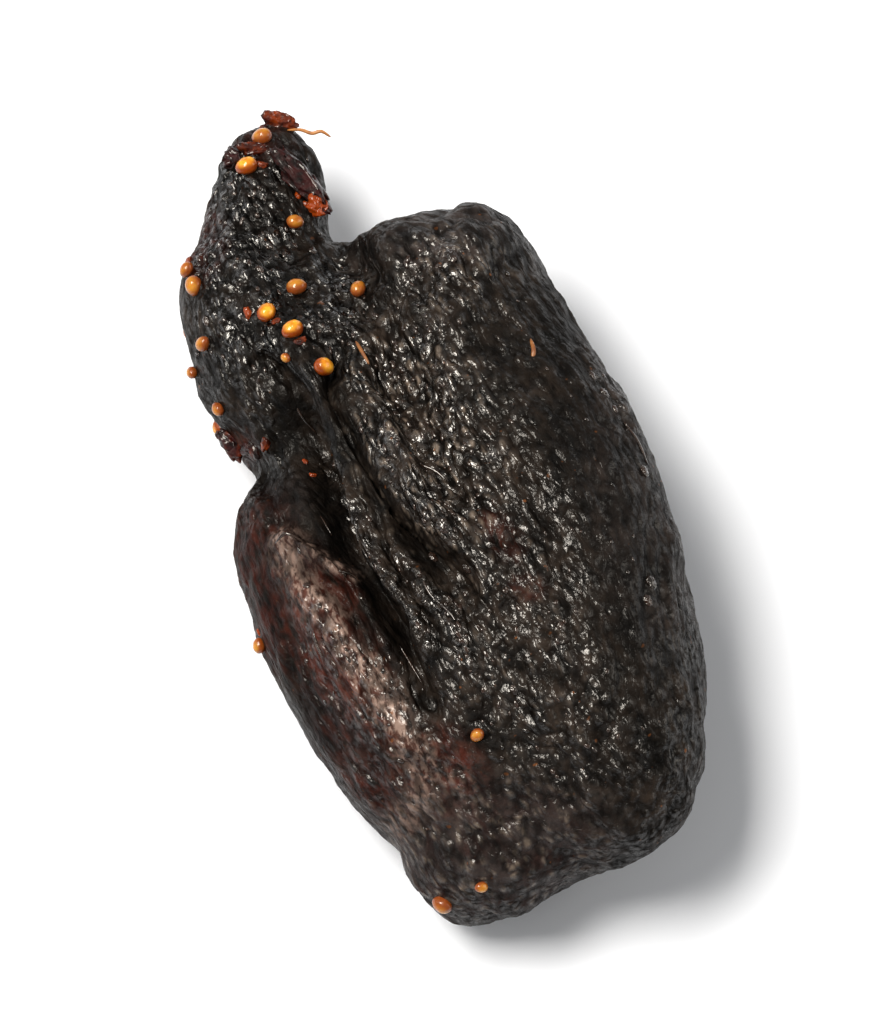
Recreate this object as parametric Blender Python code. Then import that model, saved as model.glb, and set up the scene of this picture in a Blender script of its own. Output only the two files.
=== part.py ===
"""A dried black fig lying on its side, with its short neck, torn stalk end and the seeds stuck to its skin.

Row frame: metres, +Z up. The origin is the middle of the flat spot that the fig lies on, +Y runs along the
fig from its eye end to its neck, and the folded face looks up.
"""

import math

import bmesh
import bpy
import numpy as np
from mathutils import Matrix, Vector, noise
from mathutils.bvhtree import BVHTree

MM = 0.001

# The fig is seen from above and a little from its right and eye end. Folds, flaps and seeds are placed in
# that view: mm to the right of and above the centre of the fig.
VIEW_TURN = math.radians(-16)
VIEW_TILT = math.radians(68)
VIEW_CENTRE = Vector((0.0, 5.1, 7.0)) * MM
VIEW_RIGHT = Vector((math.cos(VIEW_TURN), math.sin(VIEW_TURN), 0.0))
VIEW_BACK = Vector((
    math.sin(VIEW_TURN) * math.cos(VIEW_TILT),
    -math.cos(VIEW_TURN) * math.cos(VIEW_TILT),
    math.sin(VIEW_TILT),
))
VIEW_UP = VIEW_BACK.cross(VIEW_RIGHT)

# The fleshy lobes of the collapsed fig: name, centre (x, y, z) and half sizes (across, along, up) in mm,
# and the heading of the lobe's length in degrees, turned from +Y towards -X.
LOBES = (
    ("core", (0.0, 0.0, 6.9), (10.0, 14.6, 7.6), 0),
    ("right_lobe", (4.0, 0.8, 8.3), (7.2, 17.0, 7.5), 0),
    ("middle_ridge", (-3.7, 4.6, 9.5), (2.2, 13.0, 5.0), 10),
    ("left_lobe", (-6.2, -2.0, 6.6), (4.2, 12.0, 6.2), 12),
    ("left_flank", (-6.3, 15.8, 6.6), (3.9, 8.0, 4.8), 4),
    ("shoulder_inner", (1.4, 16.9, 8.8), (3.5, 3.9, 4.5), 0),
    ("shoulder_outer", (4.4, 15.7, 8.6), (3.8, 5.0, 5.2), -16),
    ("shoulder_slope", (3.6, 11.4, 9.0), (5.7, 7.6, 5.3), 4),
    ("web", (-2.8, 15.9, 6.8), (4.6, 5.8, 4.6), 0),
    ("neck_root", (-3.0, 12.8, 8.2), (4.0, 6.0, 4.5), 6),
    ("neck", (-4.9, 22.2, 6.5), (3.4, 7.4, 3.4), -18),
    ("eye_knob", (-2.2, -12.4, 5.6), (4.8, 4.2, 4.3), 0),
    ("eye_cheek", (2.5, -10.3, 6.6), (5.2, 5.6, 5.8), 0),
)
LOBE_VOXEL = 0.4 * MM
LOBE_SMOOTHING = 9

# Folds pressed into the seen face: the line of each in the view (mm), its half width and its depth (mm).
# A negative depth raises a ridge.
FOLDS = (
    (
        "right_lobe_fold",
        ((-5.3, 9.0), (-5.8, 6.4), (-4.8, 4.8), (-3.8, 2.6), (-3.0, 1.4), (-2.2, 0.0), (-0.9, -1.4), (2.0, -4.2)),
        0.45,
        1.4,
    ),
    ("dark_strip", ((-6.1, 5.6), (-5.4, 4.1), (-4.5, 2.3), (-3.1, 0.4), (-1.8, -1.5), (-0.4, -2.9), (1.4, -5.4)), 0.8, 0.9),
    ("plateau_edge", ((-5.0, 8.0), (-4.0, 5.3), (-3.0, 3.2), (-1.4, 0.6), (0.1, -0.9), (3.4, -4.4)), 1.1, -1.3),
    (
        "left_lobe_fold",
        ((-9.4, 8.6), (-8.1, 6.1), (-7.6, 4.0), (-5.8, 0.5), (-4.9, -1.9), (-2.5, -5.5), (-1.8, -7.3), (-0.4, -10.6)),
        0.65,
        1.9,
    ),
    ("near_strand", ((-6.6, 3.4), (-5.3, 0.9), (-4.6, -0.5), (-3.7, -2.6), (-2.2, -4.1), (-0.6, -7.4)), 0.5, -0.7),
    ("far_strand", ((-3.4, -1.0), (-1.7, -2.6), (-0.8, -4.1), (0.4, -5.3), (1.4, -8.0)), 0.45, -0.55),
    ("strand_groove", ((-4.9, 2.2), (-3.8, -0.3), (-2.7, -2.5), (-1.4, -4.5), (0.2, -7.8)), 0.35, 0.5),
    ("strand_gap", ((-8.0, 8.2), (-7.3, 6.4), (-6.8, 5.2), (-6.3, 3.4)), 0.35, 0.6),
    ("neck_fold", ((-4.2, 15.6), (-5.2, 12.0), (-6.2, 9.2), (-5.6, 5.0)), 1.1, 0.3),
    ("web_pit", ((-6.4, 14.2), (-5.0, 13.2), (-3.8, 12.4), (-3.4, 11.4)), 1.0, 0.9),
    ("left_lobe_edge", ((-9.0, -2.0), (-8.1, -1.1), (-7.0, -1.8), (-5.4, -2.9), (-4.3, -3.9), (-3.0, -7.0)), 0.5, -0.6),
    ("left_lobe_step", ((-9.4, -0.8), (-8.2, -0.1), (-6.9, -0.9), (-5.4, -2.0)), 0.45, 0.4),
    ("left_lobe_band", ((-8.8, -3.0), (-7.0, -4.6), (-5.8, -6.0), (-4.9, -7.6), (-3.8, -9.4), (-2.2, -12.8)), 0.9, -0.4),
    ("left_lobe_hollow", ((-7.6, -2.5), (-6.6, -3.2), (-5.4, -4.0), (-4.2, -5.6), (-2.8, -8.8)), 0.5, 0.4),
    ("left_notch", ((-11.8, 4.6), (-10.4, 2.4), (-9.0, 1.2)), 0.8, 0.7),
    ("left_lobe_groove", ((-8.9, -3.4), (-7.4, -7.0), (-5.2, -11.0), (-2.6, -15.0)), 0.7, 0.5),
    ("right_dimple", ((3.6, 2.4), (5.4, -0.6), (6.2, -4.6)), 1.1, 0.5),
    ("shoulder_crest", ((-1.6, 15.2), (0.2, 12.0), (0.6, 7.0), (1.2, 2.0)), 1.8, -0.5),
)

# Wrinkles (mm) run along the fig, with round tops and sharp valleys, and wander as the bend makes them.
# Broad dents lie under them.
WRINKLE_ACROSS = 1.9
WRINKLE_ALONG = 4.6
WRINKLE_HEIGHT = 0.5
WRINKLE_MIDDLE = 0.2
BEND_LENGTH = 5.0
BEND_SHARE = 0.7
NOISE_SEED = 3
DENT_ACROSS = 6.5
DENT_ALONG = 10.8
DENT_HEIGHT = 0.6

# The underside eases flat near the floor over this height, and is cut flat a little above its lowest point.
FLOOR_EASE = 0.6 * MM
FLOOR_CUT = 0.2 * MM

SKIN_TRIANGLES = 7800

# Torn skin and stalk round the tip of the neck: place in the view (mm), half sizes (across, along, up) in
# mm, heading in the view in degrees from its up direction towards its left, and how far it stands out (mm).
FLAPS = (
    ("torn_strip", (-7.6, 17.3), (0.65, 2.0, 0.5), 38, 0.25),
    ("strip_end", (-6.9, 15.9), (0.5, 0.6, 0.5), 20, 0.3),
    ("curled_edge", (-8.8, 20.4), (0.4, 0.9, 0.5), 80, 0.2),
    ("stalk_scar", (-11.0, 18.5), (0.55, 0.6, 0.5), 30, 0.15),
    ("torn_skin", (-10.1, 18.9), (0.3, 0.8, 0.35), 100, 0.15),
    ("notch_curl", (-11.0, 3.6), (0.45, 0.9, 0.45), 35, 0.15),
)
FLAP_RAGGEDNESS = 1.4
FLAP_TEAR = 0.32
FLAP_CURL = 0.3

# Seeds stuck to the seen face: place in the view and radius (mm).
SEEN_SEEDS = (
    (-9.5, 19.6, 0.5),
    (-10.3, 18.0, 0.54),
    (-7.9, 15.1, 0.42),
    (-13.0, 11.8, 0.5),
    (-13.3, 12.6, 0.4),
    (-7.7, 11.5, 0.5),
    (-4.5, 11.4, 0.44),
    (-9.3, 10.2, 0.52),
    (-7.8, 9.3, 0.54),
    (-12.4, 8.7, 0.42),
    (-6.4, 7.4, 0.54),
    (-13.0, 7.3, 0.34),
    (-11.6, 5.4, 0.36),
    (-8.1, 8.0, 0.26),
    (1.7, -11.2, 0.36),
    (0.0, -19.9, 0.5),
    (1.8, -19.0, 0.32),
    (-9.4, -6.9, 0.38),
)
# More seeds are scattered on the unseen side of the neck: how far along the fig they lie (mm), and how far
# round the neck's middle from straight up (degrees).
HIDDEN_SEEDS = 7
HIDDEN_SEED_SPAN = (9.0, 26.0)
HIDDEN_SEED_TURN = (100, 260)
NECK_SIDE = -5.5
NECK_HEIGHT = 6.3
SEED_RADIUS = 0.55
SEED_FORM = (0.9, 1.0, 0.85)
SEED_TIP = 0.2
SEED_LIFT = 0.15
SCATTER_SEED = 7

# Points on the skin are found from this far outside it.
REACH = 60 * MM


def clear_scene():
    for old in list(bpy.data.objects):
        bpy.data.objects.remove(old)


def add_object(name, mesh):
    made = bpy.data.objects.new(name, mesh)
    bpy.context.scene.collection.objects.link(made)
    return made


def applied(made):
    """The object's mesh with its modifiers applied. The object is removed."""
    graph = bpy.context.evaluated_depsgraph_get()
    mesh = bpy.data.meshes.new_from_object(made.evaluated_get(graph), depsgraph=graph)
    bpy.data.objects.remove(made)
    return mesh


def lobed_body():
    """The lobes run together into one skin, with soft creases where they meet."""
    bm = bmesh.new()
    for _, centre, half, heading in LOBES:
        place = (
            Matrix.Translation(Vector(centre) * MM)
            @ Matrix.Rotation(math.radians(heading), 4, "Z")
            @ Matrix.Diagonal((*(Vector(half) * MM), 1.0))
        )
        bmesh.ops.create_icosphere(bm, subdivisions=5, radius=1.0, matrix=place)
    mesh = bpy.data.meshes.new("lobes")
    bm.to_mesh(mesh)
    bm.free()
    body = add_object("lobes", mesh)
    join = body.modifiers.new("join", "REMESH")
    join.mode = "VOXEL"
    join.voxel_size = LOBE_VOXEL
    soften = body.modifiers.new("soften", "SMOOTH")
    soften.factor = 0.5
    soften.iterations = LOBE_SMOOTHING
    return applied(body)


def view_places(points):
    """Where each point shows in the view, in mm to the right and up."""
    axes = np.array((VIEW_RIGHT, VIEW_UP)).T
    return (points - np.array(VIEW_CENTRE)) @ axes / MM


def gap_to_line(places, line):
    """How far each place is from a line of points, and how far along the line its nearest point is (0 to 1)."""
    gaps = np.full(len(places), np.inf)
    along = np.zeros(len(places))
    steps = len(line) - 1
    for i in range(steps):
        start = np.array(line[i])
        run = np.array(line[i + 1]) - start
        part = np.clip((places - start) @ run / (run @ run), 0, 1)
        gap = np.linalg.norm(places - start - part[:, None] * run, axis=1)
        nearer = gap < gaps
        gaps[nearer] = gap[nearer]
        along[nearer] = (i + part[nearer]) / steps
    return gaps, along


def fold_heights(points, normals):
    """How far the folds of the seen face move each skin point out, in mm."""
    places = view_places(points)
    facing = np.clip(normals @ np.array(VIEW_BACK) * 2.5, 0, 1)
    heights = np.zeros(len(points))
    for _, line, width, depth in FOLDS:
        gaps, along = gap_to_line(places, line)
        fade = np.sqrt(np.sin(np.pi * along).clip(0, 1))
        heights -= depth * fade * facing * np.exp(-((gaps / width) ** 2))
    return heights


def wrinkle_heights(points, _normals):
    """How far the wrinkles and dents move each skin point out, in mm."""
    heights = np.empty(len(points))
    for i, (x, y, z) in enumerate(points / MM):
        bend = noise.noise_vector(Vector((x, y, z)) / BEND_LENGTH) * BEND_SHARE
        ribs = Vector((x / WRINKLE_ACROSS, y / WRINKLE_ALONG, z / WRINKLE_ACROSS)) + bend
        dents = Vector((x / DENT_ACROSS, y / DENT_ALONG, z / DENT_ACROSS))
        heights[i] = (abs(noise.noise(ribs)) - WRINKLE_MIDDLE) * WRINKLE_HEIGHT
        heights[i] += noise.noise(dents) * DENT_HEIGHT
    return heights


def read_skin(mesh):
    count = len(mesh.vertices)
    points = np.empty(count * 3)
    normals = np.empty(count * 3)
    mesh.vertices.foreach_get("co", points)
    mesh.vertices.foreach_get("normal", normals)
    return points.reshape(-1, 3), normals.reshape(-1, 3)


def write_skin(mesh, points):
    mesh.vertices.foreach_set("co", points.ravel())
    mesh.update()


def push_out(mesh, heights_of):
    """Move each skin point along its normal."""
    points, normals = read_skin(mesh)
    points += normals * heights_of(points, normals)[:, None] * MM
    write_skin(mesh, points)


def settle_on_floor(mesh):
    """Ease the underside flat near the floor, so that the weight spreads it."""
    points, _ = read_skin(mesh)
    height = points[:, 2]
    points[:, 2] = (height + np.sqrt(height**2 + FLOOR_EASE**2)) / 2 - FLOOR_CUT
    write_skin(mesh, points)


def fewer_faces(mesh):
    skin = add_object("skin", mesh)
    reduce = skin.modifiers.new("reduce", "DECIMATE")
    mesh.calc_loop_triangles()
    reduce.ratio = SKIN_TRIANGLES / len(mesh.loop_triangles)
    return applied(skin)


def cut_flat_spot(mesh):
    """Cut the underside at z = 0 and close it with triangles round the origin."""
    bm = bmesh.new()
    bm.from_mesh(mesh)
    everything = bm.verts[:] + bm.edges[:] + bm.faces[:]
    cut = bmesh.ops.bisect_plane(bm, geom=everything, plane_co=(0, 0, 0), plane_no=(0, 0, 1), clear_inner=True)
    rim = [edge for edge in cut["geom_cut"] if isinstance(edge, bmesh.types.BMEdge)]
    spot = bmesh.ops.contextual_create(bm, geom=rim)["faces"]
    middle = bmesh.ops.poke(bm, faces=spot)["verts"][0]
    middle.co = (0, 0, 0)
    bmesh.ops.triangulate(bm, faces=bm.faces[:])
    bmesh.ops.recalc_face_normals(bm, faces=bm.faces[:])
    bm.to_mesh(mesh)
    bm.free()


def add_lump(collection, name, place, half, shape):
    """A ball whose points are moved by the shape, then stretched to its half sizes (mm) and put in place."""
    bm = bmesh.new()
    bmesh.ops.create_icosphere(bm, subdivisions=2, radius=1.0)
    for vert in bm.verts:
        vert.co = shape(vert.co)
    bmesh.ops.transform(bm, matrix=place @ Matrix.Diagonal((*(Vector(half) * MM), 1.0)), verts=bm.verts)
    mesh = bpy.data.meshes.new(name)
    bm.to_mesh(mesh)
    bm.free()
    collection.objects.link(bpy.data.objects.new(name, mesh))


def seed_shape(place):
    """A drop, drawn out to a blunt point at one end."""
    return place + Vector((0.0, SEED_TIP * max(0.0, place.y) ** 2, 0.0))


def flap_shape(place):
    """A ragged scrap whose ends curl up."""
    ragged = place + noise.noise_vector(place * FLAP_RAGGEDNESS) * FLAP_TEAR
    return ragged + Vector((0.0, 0.0, FLAP_CURL * place.y**2))


def seated(point, normal, ahead):
    """A frame at the point, with its Z along the normal and its Y as near as it can be to ahead."""
    up = normal.normalized()
    across = ahead.cross(up).normalized()
    along = up.cross(across)
    turn = Matrix((across, along, up)).transposed().to_4x4()
    return Matrix.Translation(point) @ turn


def seen_spot(tree, right, up):
    """The skin point, with its normal, that shows at this place in the view."""
    start = VIEW_CENTRE + (VIEW_RIGHT * right + VIEW_UP * up) * MM
    point, normal, _, _ = tree.ray_cast(start + VIEW_BACK * REACH, -VIEW_BACK)
    if point is None:
        point, normal, _, _ = tree.find_nearest(start)
    return point, normal


def add_flaps(collection, tree):
    for name, (right, up), half, heading, lift in FLAPS:
        point, normal = seen_spot(tree, right, up)
        angle = math.radians(heading)
        ahead = VIEW_UP * math.cos(angle) - VIEW_RIGHT * math.sin(angle)
        add_lump(collection, name, seated(point + normal * lift * MM, normal, ahead), half, flap_shape)


def add_seeds(collection, tree):
    draw = np.random.default_rng(SCATTER_SEED)
    spots = [(*seen_spot(tree, right, up), radius) for right, up, radius in SEEN_SEEDS]
    for _ in range(HIDDEN_SEEDS):
        along = draw.uniform(*HIDDEN_SEED_SPAN)
        turn = math.radians(draw.uniform(*HIDDEN_SEED_TURN))
        outward = Vector((math.sin(turn), 0.0, math.cos(turn)))
        start = Vector((NECK_SIDE, along, NECK_HEIGHT)) * MM + outward * REACH
        point, normal, _, _ = tree.ray_cast(start, -outward)
        spots.append((point, normal, SEED_RADIUS))
    for point, normal, radius in spots:
        turn = draw.uniform(0, 2 * math.pi)
        ahead = VIEW_RIGHT * math.cos(turn) + VIEW_UP * math.sin(turn)
        place = seated(point + normal * SEED_LIFT * MM, normal, ahead)
        add_lump(collection, "seed", place, Vector(SEED_FORM) * radius, seed_shape)


def fuse(fig, collection):
    """Join everything in the collection to the fig's skin, then remove the pieces."""
    bpy.context.scene.collection.children.link(collection)
    union = fig.modifiers.new("fuse", "BOOLEAN")
    union.operation = "UNION"
    union.operand_type = "COLLECTION"
    union.collection = collection
    union.solver = "EXACT"
    mesh = applied(fig)
    for piece in list(collection.objects):
        bpy.data.objects.remove(piece)
    bpy.data.collections.remove(collection)
    return mesh


def shell_of(start, seen):
    """All the vertices joined to the start by edges."""
    shell = [start]
    seen.add(start)
    for vert in shell:
        for edge in vert.link_edges:
            other = edge.other_vert(vert)
            if other not in seen:
                seen.add(other)
                shell.append(other)
    return shell


def keep_largest_shell(mesh):
    """Fill hollows that fusing sealed, and drop loose scraps, by keeping only the outer skin."""
    bm = bmesh.new()
    bm.from_mesh(mesh)
    seen = set()
    shells = [shell_of(vert, seen) for vert in bm.verts if vert not in seen]
    shells.sort(key=len)
    for shell in shells[:-1]:
        bmesh.ops.delete(bm, geom=shell, context="VERTS")
    bmesh.ops.triangulate(bm, faces=bm.faces[:])
    bm.to_mesh(mesh)
    bm.free()


def skin_material():
    material = bpy.data.materials.new("fig_skin")
    material.use_nodes = True
    shader = material.node_tree.nodes["Principled BSDF"]
    shader.inputs["Base Color"].default_value = (0.022, 0.016, 0.014, 1.0)
    shader.inputs["Roughness"].default_value = 0.38
    shader.inputs["Metallic"].default_value = 0.0
    return material


def build_fig():
    mesh = lobed_body()
    push_out(mesh, fold_heights)
    push_out(mesh, wrinkle_heights)
    settle_on_floor(mesh)
    mesh = fewer_faces(mesh)
    cut_flat_spot(mesh)
    fig = add_object("skin", mesh)
    tree = BVHTree.FromPolygons([v.co for v in mesh.vertices], [p.vertices for p in mesh.polygons])
    stuck_on = bpy.data.collections.new("stuck_on")
    add_flaps(stuck_on, tree)
    add_seeds(stuck_on, tree)
    mesh = fuse(fig, stuck_on)
    keep_largest_shell(mesh)
    mesh.shade_smooth()
    mesh.materials.clear()
    mesh.materials.append(skin_material())
    add_object("fig", mesh)


clear_scene()
noise.seed_set(NOISE_SEED)
build_fig()
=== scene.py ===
import math

import bmesh
import bpy
import numpy as np
from mathutils import Matrix, Vector, noise
from mathutils.bvhtree import BVHTree


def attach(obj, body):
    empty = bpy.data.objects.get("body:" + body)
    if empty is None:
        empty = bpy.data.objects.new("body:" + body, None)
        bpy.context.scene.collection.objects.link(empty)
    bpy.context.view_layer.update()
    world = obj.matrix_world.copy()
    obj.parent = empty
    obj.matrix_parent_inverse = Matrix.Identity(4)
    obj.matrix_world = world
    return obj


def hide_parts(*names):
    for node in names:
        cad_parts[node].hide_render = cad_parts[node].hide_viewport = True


MM = 0.001

# The photographed view: the camera looks down on the fig, from a little to its left and towards its eye end.
# Folds, patches, scraps and seeds are placed in that view, in mm to the right of and above the fig's centre.
VIEW_TURN = math.radians(-16)
VIEW_TILT = math.radians(68)
VIEW_CENTRE = Vector((0.0, 5.1, 7.0)) * MM
VIEW_RIGHT = Vector((math.cos(VIEW_TURN), math.sin(VIEW_TURN), 0.0))
VIEW_BACK = Vector((
    math.sin(VIEW_TURN) * math.cos(VIEW_TILT),
    -math.cos(VIEW_TURN) * math.cos(VIEW_TILT),
    math.sin(VIEW_TILT),
))
VIEW_UP = VIEW_BACK.cross(VIEW_RIGHT)

# The picture is this many pixels tall, and shows the fig at this many pixels per mm, from this far away (m).
PICTURE_HEIGHT = 1024
PIXELS_PER_MM = 19.3
CAMERA_DISTANCE = 0.45
CLIP_START = 0.01
SENSOR = 36.0

# Lamps: direction in the view (right, up and towards the camera), distance and size (m), and power (W).
LAMPS = (
    ("key_light", (-0.42, 0.42, 0.9), 0.6, (0.3, 0.22), 5.4),
    ("side_light", (0.9, 0.3, 0.4), 0.7, (0.5, 0.4), 1.7),
    ("left_light", (-0.9, 0.4, 0.4), 0.7, (0.4, 0.3), 0.5),
)
LAMP_COLOUR = (1.0, 0.93, 0.83)
STUDIO_COLOUR = (1.0, 0.97, 0.92)
STUDIO_STRENGTH = 0.3
FLOOR_SIZE = 3.0
FLOOR_DROP = 0.02 * MM
FLOOR_TONE_SIZE = 40.0

# The fleshy lobes, as in the solid: centre and half sizes in mm, and heading in degrees from +Y towards -X.
LOBES = (
    ("core", (0.0, 0.0, 6.9), (10.0, 14.6, 7.6), 0),
    ("right_lobe", (4.0, 0.8, 8.3), (7.2, 17.0, 7.5), 0),
    ("middle_ridge", (-3.7, 4.6, 9.5), (2.2, 13.0, 5.0), 10),
    ("left_lobe", (-6.2, -2.0, 6.6), (4.2, 12.0, 6.2), 12),
    ("left_flank", (-6.3, 15.8, 6.6), (3.9, 8.0, 4.8), 4),
    ("shoulder_inner", (1.4, 16.9, 8.8), (3.5, 3.9, 4.5), 0),
    ("shoulder_outer", (4.4, 15.7, 8.6), (3.8, 5.0, 5.2), -16),
    ("shoulder_slope", (3.6, 11.4, 9.0), (5.7, 7.6, 5.3), 4),
    ("web", (-2.8, 15.9, 6.8), (4.6, 5.8, 4.6), 0),
    ("neck_root", (-3.0, 12.8, 8.2), (4.0, 6.0, 4.5), 6),
    ("neck", (-4.9, 22.2, 6.5), (3.4, 7.4, 3.4), -18),
    ("eye_knob", (-2.2, -12.4, 5.6), (4.8, 4.2, 4.3), 0),
    ("eye_cheek", (2.5, -10.3, 6.6), (5.2, 5.6, 5.8), 0),
)
LOBE_DETAIL = 5
LOBE_VOXEL = 0.4 * MM
LOBE_SMOOTHING = 9
NET_VOXEL = 0.6 * MM
SEEN_FACING = 0.12

# Folds of the seen face, as in the solid: the line of each in the view, its half width and its depth (mm).
# A fold with a negative depth is a ridge.
FOLDS = (
    (
        "right_lobe_fold",
        (
            (-5.3, 9.0), (-5.8, 6.4), (-4.8, 4.8), (-3.8, 2.6),
            (-3.0, 1.4), (-2.2, 0.0), (-0.9, -1.4), (2.0, -4.2),
        ),
        0.45,
        1.4,
    ),
    (
        "dark_strip",
        ((-6.1, 5.6), (-5.4, 4.1), (-4.5, 2.3), (-3.1, 0.4), (-1.8, -1.5), (-0.4, -2.9), (1.4, -5.4)),
        0.8,
        0.9,
    ),
    (
        "plateau_edge",
        ((-5.0, 8.0), (-4.0, 5.3), (-3.0, 3.2), (-1.4, 0.6), (0.1, -0.9), (3.4, -4.4)),
        1.1,
        -1.3,
    ),
    (
        "left_lobe_fold",
        (
            (-9.4, 8.6), (-8.1, 6.1), (-7.6, 4.0), (-5.8, 0.5),
            (-4.9, -1.9), (-2.5, -5.5), (-1.8, -7.3), (-0.4, -10.6),
        ),
        0.65,
        1.9,
    ),
    (
        "near_strand",
        ((-6.6, 3.4), (-5.3, 0.9), (-4.6, -0.5), (-3.7, -2.6), (-2.2, -4.1), (-0.6, -7.4)),
        0.5,
        -0.7,
    ),
    ("far_strand", ((-3.4, -1.0), (-1.7, -2.6), (-0.8, -4.1), (0.4, -5.3), (1.4, -8.0)), 0.45, -0.55),
    ("strand_groove", ((-4.9, 2.2), (-3.8, -0.3), (-2.7, -2.5), (-1.4, -4.5), (0.2, -7.8)), 0.35, 0.5),
    ("strand_gap", ((-8.0, 8.2), (-7.3, 6.4), (-6.8, 5.2), (-6.3, 3.4)), 0.35, 0.6),
    ("neck_fold", ((-4.2, 15.6), (-5.2, 12.0), (-6.2, 9.2), (-5.6, 5.0)), 1.1, 0.3),
    ("web_pit", ((-6.4, 14.2), (-5.0, 13.2), (-3.8, 12.4), (-3.4, 11.4)), 1.0, 0.9),
    (
        "left_lobe_edge",
        ((-9.0, -2.0), (-8.1, -1.1), (-7.0, -1.8), (-5.4, -2.9), (-4.3, -3.9), (-3.0, -7.0)),
        0.5,
        -0.6,
    ),
    ("left_lobe_step", ((-9.4, -0.8), (-8.2, -0.1), (-6.9, -0.9), (-5.4, -2.0)), 0.45, 0.4),
    (
        "left_lobe_band",
        ((-8.8, -3.0), (-7.0, -4.6), (-5.8, -6.0), (-4.9, -7.6), (-3.8, -9.4), (-2.2, -12.8)),
        0.9,
        -0.4,
    ),
    ("left_lobe_hollow", ((-7.6, -2.5), (-6.6, -3.2), (-5.4, -4.0), (-4.2, -5.6), (-2.8, -8.8)), 0.5, 0.4),
    ("left_notch", ((-11.8, 4.6), (-10.4, 2.4), (-9.0, 1.2)), 0.8, 0.7),
    ("left_lobe_groove", ((-8.9, -3.4), (-7.4, -7.0), (-5.2, -11.0), (-2.6, -15.0)), 0.7, 0.5),
    ("right_dimple", ((3.6, 2.4), (5.4, -0.6), (6.2, -4.6)), 1.1, 0.5),
    ("shoulder_crest", ((-1.6, 15.2), (0.2, 12.0), (0.6, 7.0), (1.2, 2.0)), 1.8, -0.5),
)
FOLD_FACING = 2.5

# Wrinkles and dents (mm), as in the solid.
WRINKLE_ACROSS = 1.9
WRINKLE_ALONG = 4.6
WRINKLE_HEIGHT = 0.5
WRINKLE_MIDDLE = 0.2
BEND_LENGTH = 5.0
BEND_SHARE = 0.7
NOISE_SEED = 3
DENT_ACROSS = 6.5
DENT_ALONG = 10.8
DENT_HEIGHT = 0.6
FLOOR_EASE = 0.6 * MM
FLOOR_CUT = 0.2 * MM

# Fine relief (mm): its length across and along the fig, its height, and how much it wanders.
FINE_RELIEF = (
    ("crumple", 1.1, 2.6, 0.14, 0.5),
    ("crinkle", 0.6, 1.5, -0.16, 0.8),
    ("grain", 0.3, 0.5, -0.08, 0.4),
)
WANDER_LENGTH = 2.5
GRAIN_HEADING = math.radians(12)
GRANULE_ACROSS = 0.52
GRANULE_ALONG = 0.72
GRANULE_HEIGHT = 0.17
GRANULE_MIDDLE = 0.26
GRANULE_WARP = 0.75
GRANULE_PATCH = 1.3
GRANULE_UNEVENNESS = 1.1
PLAIN_RELIEF = 0.3
PLAIN_EDGE = 0.8 * MM

# Seeds of the seen face: place in the view and radius (mm). The others are scattered round the neck.
SEEN_SEEDS = (
    (-9.5, 19.6, 0.5),
    (-10.3, 18.0, 0.54),
    (-7.9, 15.1, 0.42),
    (-13.0, 11.8, 0.5),
    (-13.3, 12.6, 0.4),
    (-7.7, 11.5, 0.5),
    (-4.5, 11.4, 0.44),
    (-9.3, 10.2, 0.52),
    (-7.8, 9.3, 0.54),
    (-12.4, 8.7, 0.42),
    (-6.4, 7.4, 0.54),
    (-13.0, 7.3, 0.34),
    (-11.6, 5.4, 0.36),
    (-8.1, 8.0, 0.26),
    (1.7, -11.2, 0.36),
    (0.0, -19.9, 0.5),
    (1.8, -19.0, 0.32),
    (-9.4, -6.9, 0.38),
)
HIDDEN_SEEDS = 7
HIDDEN_SEED_SPAN = (9.0, 26.0)
HIDDEN_SEED_TURN = (100, 260)
NECK_SIDE = -5.5
NECK_HEIGHT = 6.3
SEED_RADIUS = 0.55
SEED_FORM = (0.9, 1.0, 0.85)
SEED_TIP = 0.2
SEED_LIFT = 0.2
SEED_DIMPLE = 0.04
SEED_DIMPLE_RATE = 2.4
SMALL_SEED = 0.5
SMALL_SEED_DULLNESS = 0.6
SCATTER_SEED = 7
REACH = 60 * MM

# Scraps of torn skin, as in the solid: place in the view and half sizes (mm), heading (degrees), lift (mm),
# and how much the flesh of each glows.
FLAPS = (
    ("torn_strip", (-7.6, 17.3), (0.65, 2.0, 0.5), 38, 0.25, 0.15),
    ("strip_end", (-6.9, 15.9), (0.5, 0.6, 0.5), 20, 0.3, 0.75),
    ("curled_edge", (-8.8, 20.4), (0.4, 0.9, 0.5), 80, 0.2, 0.45),
    ("stalk_scar", (-11.0, 18.5), (0.55, 0.6, 0.5), 30, 0.15, 0.0),
    ("torn_skin", (-10.1, 18.9), (0.3, 0.8, 0.35), 100, 0.15, 0.35),
    ("notch_curl", (-11.0, 3.6), (0.45, 0.9, 0.45), 35, 0.15, 0.3),
)
FLAP_RAGGEDNESS = 1.6
FLAP_TEAR = 0.45
FLAP_CURL = 0.3
FRAY_RATE = 5.0
FRAY = 0.12

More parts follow.
